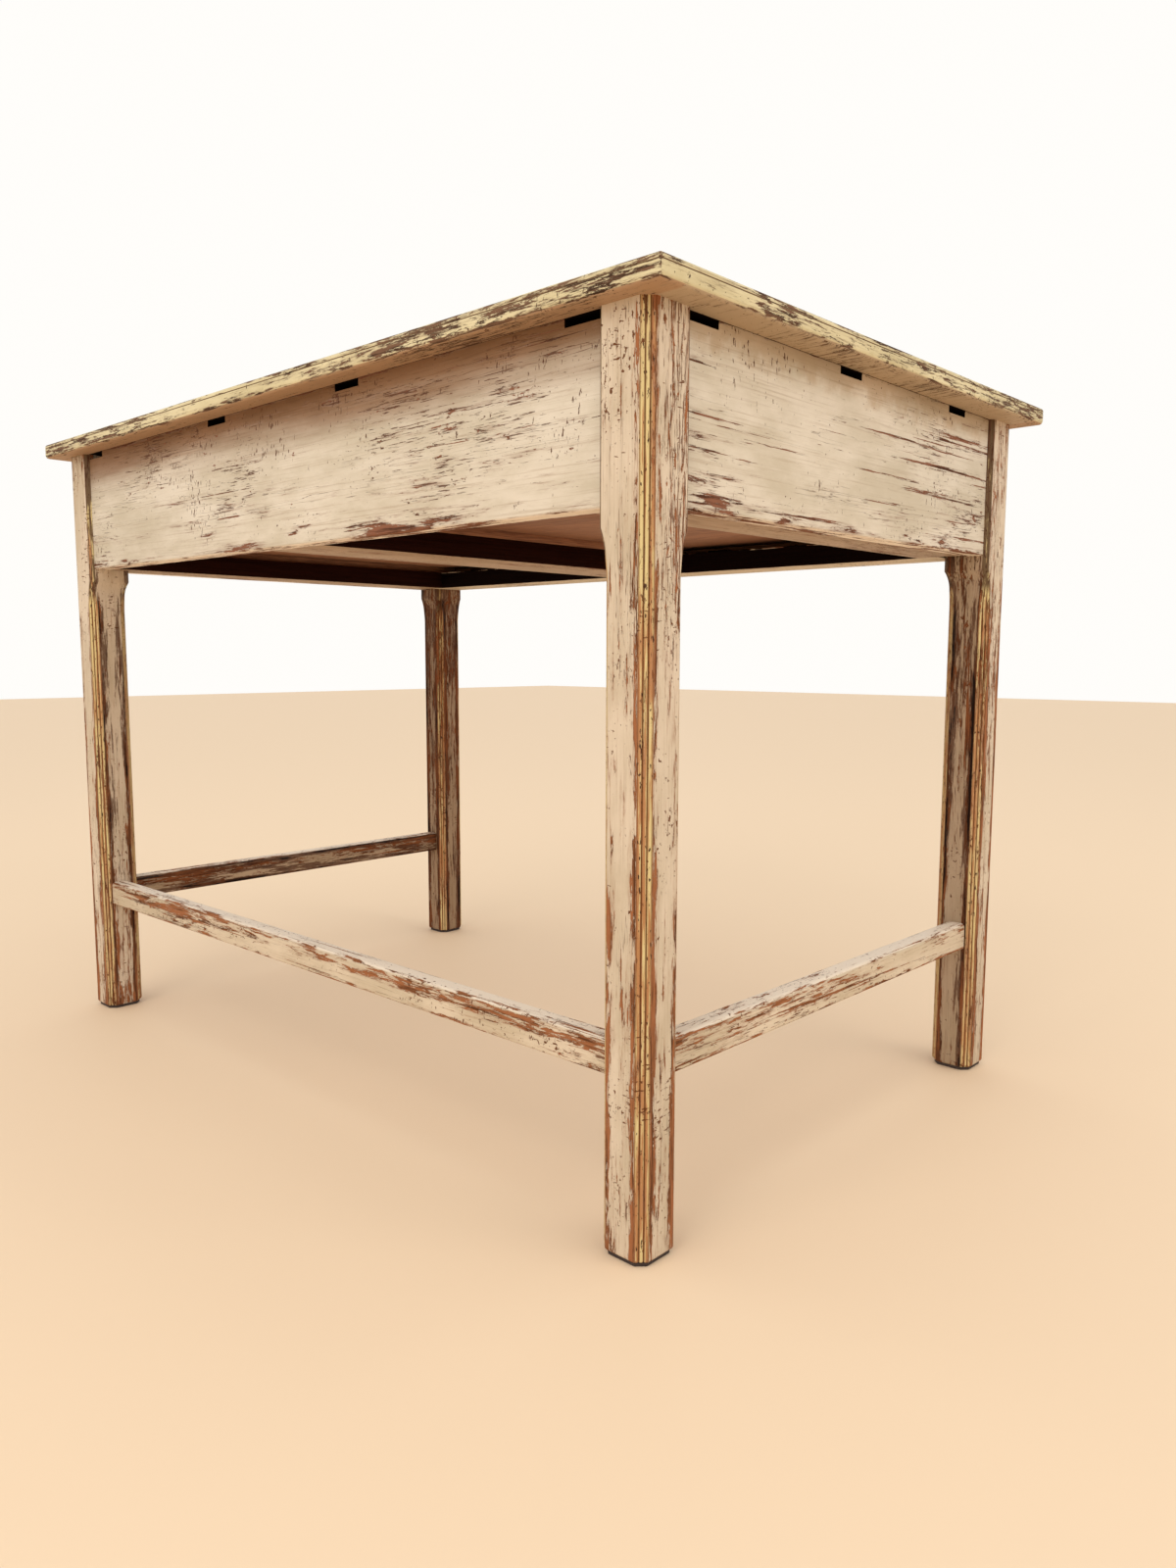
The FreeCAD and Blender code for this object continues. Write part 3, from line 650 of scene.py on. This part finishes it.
def eased_copy(node, name, arris):
    """Copy of a board with its triangles merged back into flat faces and its arrises eased."""
    clear_selection()
    piece = bpy.data.objects.new(name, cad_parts[node].data.copy())
    bpy.context.scene.collection.objects.link(piece)
    bpy.context.view_layer.objects.active = piece
    piece.select_set(True)
    if piece.data.has_custom_normals:
        bpy.ops.mesh.customdata_custom_splitnormals_clear()
    bpy.ops.object.mode_set(mode="EDIT")
    bpy.ops.mesh.select_all(action="SELECT")
    bpy.ops.mesh.remove_doubles(threshold=0.00001)
    bpy.ops.mesh.dissolve_limited(angle_limit=math.radians(0.5))
    bpy.ops.mesh.normals_make_consistent(inside=False)
    bpy.ops.object.mode_set(mode="OBJECT")
    bevel = piece.modifiers.new("arris", "BEVEL")
    bevel.width, bevel.segments = arris, ARRIS_SEGMENTS
    bevel.limit_method, bevel.angle_limit = "ANGLE", math.radians(40)
    bpy.ops.object.modifier_apply(modifier=bevel.name)
    return piece


PAD_ARRIS, PAD_ROUGHNESS = 0.0006, 0.85
PAD_BLACK, PAD_DUST = (0.020, 0.012, 0.010), (0.070, 0.045, 0.035)

pad_rubber, tree, shader, coords = start_material("pad_rubber")
grit = grain_noise(tree, coords, "X", 400.0, 400.0, 51, detail=4.0)
bump = add_node(tree, "Bump", {"Height": grit, "Strength": 0.4, "Distance": 0.0005})
tree.links.new(blend_colour(tree, grit, PAD_BLACK, PAD_DUST), shader.inputs["Base Color"])
shader.inputs["Roughness"].default_value = PAD_ROUGHNESS
tree.links.new(bump.outputs[0], shader.inputs["Normal"])
for node in ("front_left_glide", "front_right_glide", "back_left_glide", "back_right_glide"):
    pad = eased_copy(node, node + "_pad", PAD_ARRIS)
    finish_piece(pad, "root", pad_rubber, [node])

# ---- Aprons -----------------------------------------------------------------------------------
# Wide boards tenoned into the legs, with open slots in their upper edges. They are painted outside and
# underneath, rubbed most along their lower edge, and bare inside, coloured near black as painted shade.
# Their lower edge is lightened with painted light, and a band of painted shadow with brown dust lies
# under the top.
APRON_CREAM = (0.672, 0.596, 0.488)
# The lower edge is made paler as painted light, and the bands under the top are painted shadow of the
# overhang, browned like dust.
LOWER_EDGE_LIGHT = (0.900, 0.790, 0.660)
BACK_SHADOW_AND_DUST, BACK_SHADOW_HEIGHT = (0.38, 0.23, 0.14), 0.066
END_SHADOW_AND_DUST, END_SHADOW_HEIGHT = (0.80, 0.70, 0.60), 0.030
APRON_ARRIS = 0.0007


def low_wear(bottom):
    """Extra wear that grows towards the lower edge of a board."""
    def extra(tree, coords):
        height = height_of(tree, coords)
        near = inverse(tree, over(tree, height, bottom, bottom + 0.09))
        edge = inverse(tree, over(tree, height, bottom + 0.002, bottom + 0.016))
        return total(tree, product(tree, near, 0.055), product(tree, edge, 0.085), -0.010)
    return extra


def apron_light_and_shadow(shadow_height, darkest):
    """Painted light on the lower edge, and painted shadow of the top, browned like dust, close under it.
    """
    def tint(tree, coords, paint):
        cloud = grain_noise(tree, coords, "X", 3.0, 45.0, 38, detail=5.0, rough=0.6)
        level = total(tree, height_of(tree, coords), centred(tree, cloud, 0.045))
        shadow_and_dust = over(tree, level, top_low.z - shadow_height, top_low.z - 0.010)
        paint = blend_colour(tree, shadow_and_dust, paint, darkest, "MULTIPLY")
        return blend_colour(tree, faces_towards(tree, (0, 0, -1), 0.6), paint, LOWER_EDGE_LIGHT)
    return tint


back_light_and_shadow, end_light_and_shadow = apron_light_and_shadow(BACK_SHADOW_HEIGHT, BACK_SHADOW_AND_DUST), apron_light_and_shadow(END_SHADOW_HEIGHT, END_SHADOW_AND_DUST)
for node, grain, seed, outward, scored, tint in (
        ("back_apron", "X", 31, (0, 1, 0), 0.0, back_light_and_shadow),
        ("left_end_apron", "Y", 37, (-1, 0, 0), 0.055, end_light_and_shadow),
        ("right_end_apron", "Y", 33, (1, 0, 0), 0.055, end_light_and_shadow)):
    low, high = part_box(node)
    apron = eased_copy(node, node + "_painted", APRON_ARRIS)
    paint = painted_wood(node + "_paint", grain, seed, (low, high), tone=APRON_CREAM,
                         rubbed=-0.012, scored=scored, extra=low_wear(low.z), tint=tint,
                         bare=unless_faces(outward, (0, 0, -1)), reach=0.003)
    finish_piece(apron, "root", paint, [node])

# ---- Front rails and the divider --------------------------------------------------------------
# The frame round the two drawers: a rail above, a rail below and a short upright between them, painted
# in front and below, and left bare inside, coloured near black as painted shade.
RAIL_ARRIS = 0.0006


def rail_bare(upper_edge):
    """The inside, but for a broken line of paint along the upper arris."""
    def mask(tree, coords):
        line = over(tree, height_of(tree, coords), upper_edge - 0.0014, upper_edge - 0.0008)
        noise = grain_noise(tree, coords, "X", 16.0, 60.0, 64, detail=5.0, rough=0.7)
        inside = unless_faces((0, -1, 0), (0, 0, -1))(tree, coords)
        return product(tree, inside, inverse(tree, product(tree, line, over(tree, noise, 0.52, 0.56))))
    return mask


for node, grain, seed in (("front_top_rail", "X", 61), ("front_bottom_rail", "X", 62),
                          ("drawer_divider", "Z", 63)):
    low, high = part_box(node)
    rail = eased_copy(node, node + "_painted", RAIL_ARRIS)
    paint = painted_wood(node + "_paint", grain, seed, (low, high), rubbed=0.01, bare=rail_bare(high.z))
    finish_piece(rail, "root", paint, [node])

# ---- Stretchers -------------------------------------------------------------------------------
# Three low bars between the legs, none in front of the user. Their upper edges are rounded by feet, and
# the paint has gone from there first.
BAR_CREAM = (0.662, 0.545, 0.405)
# The upper faces are painted lighter, as painted light from above.
TOP_LIT_CREAM = (0.800, 0.680, 0.540)
# The second value darkens the inner faces with grime and painted shade.
BAR_ARRIS, BAR_GRIME_AND_SHADE = 0.0005, 0.75
BAND_BELOW = 0.009


def high_wear(upper_edge):
    """A long rubbed band just under the upper edge."""
    def extra(tree, coords):
        upright = inverse(tree, faces_towards(tree, (0, 0, 1), 0.6))
        off = calc(tree, "ABSOLUTE",
                   calc(tree, "SUBTRACT", height_of(tree, coords), upper_edge - BAND_BELOW))
        stretch = grain_noise(tree, coords, "Z", 3.5, 3.5, 74, detail=2.0)
        band = product(tree, inverse(tree, over(tree, off, 0.002, 0.011)),
                       total(tree, centred(tree, stretch, 0.50), 0.122))
        return total(tree, product(tree, band, upright), product(tree, upright, 0.02), -0.03)
    return extra


def bar_top_light(tree, coords, paint):
    """Whiter paint on the upper face, as painted light from above."""
    return blend_colour(tree, faces_towards(tree, (0, 0, 1), 0.6), paint, TOP_LIT_CREAM)


def bar_dirt_and_shade(inward, grain, low, high):
    """Grime and painted shade on the face that looks under the table."""
    def dirt_and_shade(tree, coords, colour):
        inner = faces_towards(tree, inward, 0.6)
        side = inverse(tree, over(tree, edge_distance(tree, coords, low, high), 0.001, 0.012))
        return grimy_and_shaded(tree, coords, grain, colour, inner, side, BAR_GRIME_AND_SHADE)
    return dirt_and_shade


for node, grain, seed, inward in (("back_stretcher", "X", 71, (0, -1, 0)),
                                  ("left_stretcher", "Y", 72, (1, 0, 0)),
                                  ("right_stretcher", "Y", 76, (-1, 0, 0))):
    low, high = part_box(node)
    bar = eased_copy(node, node + "_painted", BAR_ARRIS)
    paint = painted_wood(node + "_paint", grain, seed, (low, high), tone=BAR_CREAM, worn=ORANGE_BROWN,
                         rubbed=0.034, scored=0.065, fine=2.7, extra=high_wear(high.z), tint=bar_top_light,
                         dirt_and_shade=bar_dirt_and_shade(inward, grain, low, high), reach=0.006)
    finish_piece(bar, "root", paint, [node])

# ---- Runners, guides, kickers and stops -------------------------------------------------------
# Plain strips that carry and steer the drawers. They are coloured near black, part stain and part
# painted shade, and only the undersides of the runners were painted over with the outside of the table.
STRIPS = ("centre_runner", "left_runner", "right_runner", "centre_guide", "left_guide",
          "right_guide", "centre_kicker", "left_kicker", "right_kicker", "drawer_stops")
STRIP_ARRIS = 0.0006
# The strips' dark colour is part stain and part painted shade.
UNDERSIDE_PAINT, DARK_STAIN_AND_SHADE = (0.42, 0.30, 0.21), (0.020, 0.005, 0.003)

strip_paint = painted_wood("strip_paint", "Y", 81, rubbed=0.02, tone=UNDERSIDE_PAINT,
                           bare=unless_faces((0, 0, -1)), bare_tone=DARK_STAIN_AND_SHADE)
for node in STRIPS:
    strip = eased_copy(node, node + "_strip", STRIP_ARRIS)
    finish_piece(strip, "root", strip_paint, [node])

# ---- Drawers ----------------------------------------------------------------------------------
# Two dovetailed boxes of bare brown wood with painted fronts. The bottoms slide in grooves from behind
# and are held by three screws.
WOOD_LIGHT, WOOD_DARK = (0.330, 0.140, 0.066), (0.135, 0.048, 0.021)
FRONT_INSIDE = (0.30, 0.145, 0.070)
BOX_ARRIS, BOTTOM_ARRIS = 0.0006, 0.0004


def bare_wood(name, grain, seed):
    """Unpainted, unpolished timber with darker growth lines and fine pores."""
    material, tree, shader, coords = start_material(name)
    rings = grain_noise(tree, coords, grain, 2.2, 38.0, seed, warp=1.6)
    line = calc(tree, "SINE", product(tree, rings, 55.0))
    pore = grain_noise(tree, coords, grain, 30.0, 900.0, seed + 1)
    cloud = grain_noise(tree, coords, grain, 1.5, 6.0, seed + 2)
    darkness = total(tree, product(tree, over(tree, line, -0.6, 1.0), 0.45),
                     product(tree, over(tree, pore, 0.50, 0.72), 0.45),
                     product(tree, over(tree, cloud, 0.35, 0.7), 0.35))
    bump = add_node(tree, "Bump", {"Height": pore, "Strength": 0.35, "Distance": 0.0004})
    tree.links.new(blend_colour(tree, darkness, WOOD_LIGHT, WOOD_DARK), shader.inputs["Base Color"])
    tree.links.new(total(tree, 0.55, product(tree, pore, 0.3)), shader.inputs["Roughness"])
    tree.links.new(bump.outputs[0], shader.inputs["Normal"])
    return material


side_wood = bare_wood("drawer_side_wood", "Y", 91)
cross_wood = bare_wood("drawer_back_wood", "X", 94)
for hand, seed in (("left", 101), ("right", 105)):
    body = hand + "_drawer"
    for part, wood, arris in (("drawer_left_side", side_wood, BOX_ARRIS),
                              ("drawer_right_side", side_wood, BOX_ARRIS),
                              ("drawer_back", cross_wood, BOX_ARRIS),
                              ("drawer_bottom", cross_wood, BOTTOM_ARRIS)):
        node = f"{hand}_{part}"
        board = eased_copy(node, node + "_board", arris)
        finish_piece(board, body, wood, [node])
    node = f"{hand}_drawer_front"
    front = eased_copy(node, node + "_painted", BOX_ARRIS)
    paint = painted_wood(node + "_paint", "X", seed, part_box(node), rubbed=0.01,
                         bare=unless_faces((0, -1, 0)), bare_tone=FRONT_INSIDE)
    finish_piece(front, body, paint, [node])

# ---- Knobs ------------------------------------------------------------------------------------
# One turned wooden knob in the middle of each drawer front, painted with the table and rubbed bare on
# its crown, held by a screw from inside.
KNOB_STEPS = ((0.0098, 0.0), (0.0102, 0.0006), (0.0102, 0.0020), (0.0098, 0.0026), (0.0080, 0.0038),
              (0.0066, 0.0052), (0.0062, 0.0068), (0.0064, 0.0082))
KNOB_BALL, KNOB_SIDES = 14, 48
BALL_FROM = 0.011
CROWN_DEPTH = 0.008


def knob_profile(length, radius):
    """Radius and distance from the drawer front, up the foot and neck and round the flattened ball."""
    neck, start = KNOB_STEPS[-1]
    steps = list(KNOB_STEPS)
    for i in range(1, KNOB_BALL + 1):
        angle = math.pi * i / (KNOB_BALL + 1)
        swell = neck * (1 + math.cos(angle)) / 2
        steps.append((swell + (radius - swell * 0.4) * math.sin(angle) ** 0.75,
                      start + (length - 0.0002 - start) * (1 - math.cos(angle)) / 2))
    largest = max(r for r, _ in steps)
    return [(r * radius / largest if r > BALL_FROM else r, reach) for r, reach in steps]


def knob_extra(tree, coords):
    """Paint rubbed off the crown."""
    depth = add_node(tree, "SeparateXYZ", {0: coords}).outputs[1]
    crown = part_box("left_drawer_knob")[0].y
    return product(tree, inverse(tree, over(tree, depth, crown, crown + CROWN_DEPTH)), 0.16)


knob_paint = painted_wood("knob_paint", "Z", 111, rubbed=0.02, extra=knob_extra)
for hand in ("left", "right"):
    node = f"{hand}_drawer_knob"
    low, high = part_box(node)
    centre = (low + high) / 2
    rings = []
    for r, reach in knob_profile(high.y - low.y, (high.x - low.x) / 2):
        turns = [2 * math.pi * k / KNOB_SIDES for k in range(KNOB_SIDES)]
        rings.append([(Vector((centre.x + r * math.cos(a), high.y - reach, centre.z + r * math.sin(a))),)
                      for a in turns])
    knob = draw_up(node + "_turned", rings)
    finish_piece(knob, f"{hand}_drawer", knob_paint, [node], angle=30.0)

# ---- Screws and brackets ----------------------------------------------------------------------
# Dull zinc plated wood screws, and pressed steel angles that hold the top to the aprons.
SCREW_STEEL, SCREW_STAIN = (0.42, 0.40, 0.37), (0.20, 0.17, 0.14)
BRACKET_STEEL, BRACKET_STAIN = (0.36, 0.35, 0.33), (0.18, 0.15, 0.12)


def dull_steel(name, seed, light, dark):
    """Steel gone dull, with faint stains."""
    material, tree, shader, coords = start_material(name)
    stain = grain_noise(tree, coords, "X", 160.0, 160.0, seed, detail=5.0)
    scratch = grain_noise(tree, coords, "X", 90.0, 1500.0, seed + 1, detail=2.0)
    colour = blend_colour(tree, over(tree, stain, 0.4, 0.65), light, dark)
    bump = add_node(tree, "Bump", {"Height": scratch, "Strength": 0.2, "Distance": 0.0002})
    tree.links.new(colour, shader.inputs["Base Color"])
    shader.inputs["Metallic"].default_value = 1.0
    tree.links.new(total(tree, 0.28, product(tree, stain, 0.35)), shader.inputs["Roughness"])
    tree.links.new(bump.outputs[0], shader.inputs["Normal"])
    return material


screw_steel = dull_steel("screw_steel", 121, SCREW_STEEL, SCREW_STAIN)
bracket_steel = dull_steel("bracket_steel", 123, BRACKET_STEEL, BRACKET_STAIN)
for node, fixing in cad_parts.items():
    if "screw" in node or "bracket" in node:
        fixing.data.materials.clear()
        fixing.data.materials.append(screw_steel if "screw" in node else bracket_steel)
